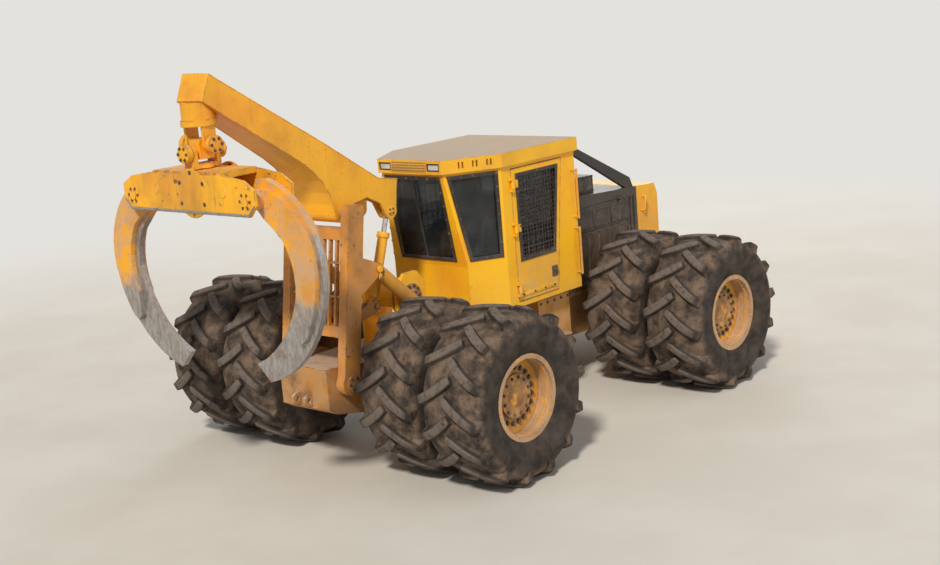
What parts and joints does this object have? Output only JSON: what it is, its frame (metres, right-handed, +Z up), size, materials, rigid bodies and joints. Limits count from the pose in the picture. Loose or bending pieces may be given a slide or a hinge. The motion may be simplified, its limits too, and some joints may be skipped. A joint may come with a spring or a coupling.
{
  "type": "grapple skidder",
  "caption": "Articulated log skidder in dusty yellow, twin lugged tyres at each corner, guarded cab, front blade, hinged arch with boom and hanging grapple.",
  "frame": {"origin": "middle of the box at the wheels' lowest point", "axes": "+X forward, +Y left, +Z up"},
  "size_m": [8.2089, 4.8308, 4.43],
  "materials": {
    "yellow_enamel": "semi-gloss",
    "dusty_enamel": "matte",
    "black_enamel": "matte",
    "rod_steel": "polished",
    "tyre_rubber": "matte",
    "dark_glass": "glossy",
    "cab_plastic": "matte"
  },
  "bodies": {
    "front": {"front_frame": "yellow_enamel", "front_axle": "dusty_enamel", "cab_shell": "yellow_enamel", "cab_roof": "yellow_enamel", "cab_glass": "dark_glass", "cab_interior": "cab_plastic", "access_steps": "dusty_enamel", "engine": "black_enamel", "hood": "yellow_enamel", "grille": "black_enamel", "intake_box": "black_enamel", "limb_risers": "black_enamel"},
    "rear": {"rear_frame": "yellow_enamel", "rear_axle": "dusty_enamel", "winch": "yellow_enamel"},
    "arch": {"arch": "yellow_enamel"},
    "arch_barrels": {"arch_barrels": "dusty_enamel"},
    "arch_rods": {"arch_rods": "rod_steel"},
    "boom": {"boom": "yellow_enamel"},
    "boom_barrels": {"boom_barrels": "yellow_enamel"},
    "boom_rods": {"boom_rods": "rod_steel"},
    "swing_cross": {"swing_cross": "yellow_enamel"},
    "rotator": {"rotator": "yellow_enamel"},
    "grapple": {"grapple_head": "yellow_enamel"},
    "tong_right": {"tong_right": "yellow_enamel"},
    "tong_left": {"tong_left": "yellow_enamel"},
    "blade": {"blade": "yellow_enamel"},
    "blade_barrels": {"blade_barrels": "yellow_enamel"},
    "blade_rods": {"blade_rods": "rod_steel"},
    "steer_barrel_right": {"steer_barrel_right": "dusty_enamel"},
    "steer_barrel_left": {"steer_barrel_left": "dusty_enamel"},
    "steer_rod_right": {"steer_rod_right": "rod_steel"},
    "steer_rod_left": {"steer_rod_left": "rod_steel"},
    "wheels_front_right": {"tyres_front_right": "tyre_rubber", "rims_front_right": "dusty_enamel"},
    "wheels_front_left": {"tyres_front_left": "tyre_rubber", "rims_front_left": "dusty_enamel"},
    "wheels_rear_right": {"tyres_rear_right": "tyre_rubber", "rims_rear_right": "dusty_enamel"},
    "wheels_rear_left": {"tyres_rear_left": "tyre_rubber", "rims_rear_left": "dusty_enamel"},
    "cab_door_right": {"cab_door_right": "yellow_enamel"},
    "cab_door_left": {"cab_door_left": "yellow_enamel"},
    "engine_door_right": {"engine_door_right": "black_enamel"},
    "engine_door_left": {"engine_door_left": "black_enamel"}
  },
  "joints": [
    {"name": "steer", "type": "hinge", "parent": "front", "child": "rear", "pos_m": [0.02, 0, 0.88], "axis": [0, 0, 1], "range_deg": [-45, 45]},
    {"name": "spin_front_right", "type": "hinge", "parent": "front", "child": "wheels_front_right", "pos_m": [1.97, -1.575, 0.925], "axis": [0, 1, 0], "continuous": true},
    {"name": "spin_front_left", "type": "hinge", "parent": "front", "child": "wheels_front_left", "pos_m": [1.97, 1.575, 0.925], "axis": [0, 1, 0], "continuous": true},
    {"name": "spin_rear_right", "type": "hinge", "parent": "rear", "child": "wheels_rear_right", "pos_m": [-1.93, -1.575, 0.925], "axis": [0, 1, 0], "continuous": true},
    {"name": "spin_rear_left", "type": "hinge", "parent": "rear", "child": "wheels_rear_left", "pos_m": [-1.93, 1.575, 0.925], "axis": [0, 1, 0], "continuous": true},
    {"name": "cab_door_right_swing", "type": "hinge", "parent": "front", "child": "cab_door_right", "pos_m": [-0.15, -0.848, 2.2], "axis": [0, 0, 1], "range_deg": [-85, 0]},
    {"name": "cab_door_left_swing", "type": "hinge", "parent": "front", "child": "cab_door_left", "pos_m": [-0.15, 0.848, 2.2], "axis": [0, 0, 1], "range_deg": [0, 85]},
    {"name": "engine_door_right_swing", "type": "hinge", "parent": "front", "child": "engine_door_right", "pos_m": [1.845, -0.578, 2.204], "axis": [1, 0, 0], "range_deg": [-90, 0]},
    {"name": "engine_door_left_swing", "type": "hinge", "parent": "front", "child": "engine_door_left", "pos_m": [1.845, 0.578, 2.204], "axis": [1, 0, 0], "range_deg": [0, 90]},
    {"name": "blade_lift", "type": "hinge", "parent": "front", "child": "blade", "pos_m": [2.5, 0, 0.82], "axis": [0, 1, 0], "range_deg": [-8, 22]},
    {"name": "blade_barrel_swing", "type": "hinge", "parent": "front", "child": "blade_barrels", "pos_m": [3.22, 0, 1.52], "axis": [0, 1, 0], "range_deg": [-6, 16.5]},
    {"name": "blade_rod_slide", "type": "slide", "parent": "blade_barrels", "child": "blade_rods", "axis": [0.5491, 0, -0.8358], "range_m": [-0.14, 0.375]},
    {"name": "arch_swing", "type": "hinge", "parent": "rear", "child": "arch", "pos_m": [-2.6, 0, 1.02], "axis": [0, 1, 0], "range_deg": [-28, 8]},
    {"name": "arch_barrel_swing", "type": "hinge", "parent": "arch", "child": "arch_barrels", "pos_m": [-2.055, 0, 2.15], "axis": [0, 1, 0], "range_deg": [-5.5, 19]},
    {"name": "arch_rod_slide", "type": "slide", "parent": "arch_barrels", "child": "arch_rods", "axis": [0.7423, 0, -0.6701], "range_m": [-0.165, 0.562]},
    {"name": "boom_swing", "type": "hinge", "parent": "arch", "child": "boom", "pos_m": [-2.31, 0, 2.8], "axis": [0, 1, 0], "range_deg": [-30, 10]},
    {"name": "boom_barrel_swing", "type": "hinge", "parent": "arch", "child": "boom_barrels", "pos_m": [-1.94, 0, 1.7], "axis": [0, 1, 0], "range_deg": [-6.5, 2.5]},
    {"name": "boom_rod_slide", "type": "slide", "parent": "boom_barrels", "child": "boom_rods", "axis": [0.3333, 0, 0.9428], "range_m": [-0.12, 0.36]},
    {"name": "swing_fore_aft", "type": "hinge", "parent": "boom", "child": "swing_cross", "pos_m": [-3.83, 0, 3.74], "axis": [0, -1, 0], "range_deg": [-40, 15]},
    {"name": "swing_side", "type": "hinge", "parent": "swing_cross", "child": "rotator", "pos_m": [-3.83, 0, 3.67], "axis": [1, 0, 0], "range_deg": [-30, 30]},
    {"name": "grapple_turn", "type": "hinge", "parent": "rotator", "child": "grapple", "pos_m": [-3.83, 0, 3.5], "axis": [0, 0, -1], "range_deg": [-45, 45]},
    {"name": "tong_right_swing", "type": "hinge", "parent": "grapple", "child": "tong_right", "pos_m": [-3.83, -0.875, 3.24], "axis": [1, 0, 0], "range_deg": [-65, 18]},
    {"name": "tong_left_swing", "type": "hinge", "parent": "grapple", "child": "tong_left", "pos_m": [-3.83, 0.875, 3.24], "axis": [1, 0, 0], "range_deg": [-18, 65]},
    {"name": "steer_barrel_right_swing", "type": "hinge", "parent": "front", "child": "steer_barrel_right", "pos_m": [0.74, -0.24, 0.85], "axis": [0, 0, 1], "range_deg": [-12.6, 12.6]},
    {"name": "steer_rod_right_slide", "type": "slide", "parent": "steer_barrel_right", "child": "steer_rod_right", "axis": [-1, 0, 0], "range_m": [-0.185, 0.185]},
    {"name": "steer_barrel_left_swing", "type": "hinge", "parent": "front", "child": "steer_barrel_left", "pos_m": [0.74, 0.24, 0.85], "axis": [0, 0, 1], "range_deg": [-12.6, 12.6]},
    {"name": "steer_rod_left_slide", "type": "slide", "parent": "steer_barrel_left", "child": "steer_rod_left", "axis": [-1, 0, 0], "range_m": [-0.185, 0.185]}
  ],
  "couplings": [
    {"joint": "tong_left_swing", "follows": "tong_right_swing", "ratio": -1},
    {"joint": "arch_barrel_swing", "follows": "arch_swing", "ratio": -0.66},
    {"joint": "arch_rod_slide", "follows": "arch_swing", "m_per_rad": -1.14},
    {"joint": "boom_barrel_swing", "follows": "boom_swing", "ratio": 0.2},
    {"joint": "boom_rod_slide", "follows": "boom_swing", "m_per_rad": -0.68},
    {"joint": "blade_barrel_swing", "follows": "blade_lift", "ratio": 0.72},
    {"joint": "blade_rod_slide", "follows": "blade_lift", "m_per_rad": 0.96},
    {"joint": "steer_barrel_right_swing", "follows": "steer", "ratio": 0.277},
    {"joint": "steer_barrel_left_swing", "follows": "steer", "ratio": 0.277},
    {"joint": "steer_rod_right_slide", "follows": "steer", "m_per_rad": -0.23},
    {"joint": "steer_rod_left_slide", "follows": "steer", "m_per_rad": 0.23}
  ]
}
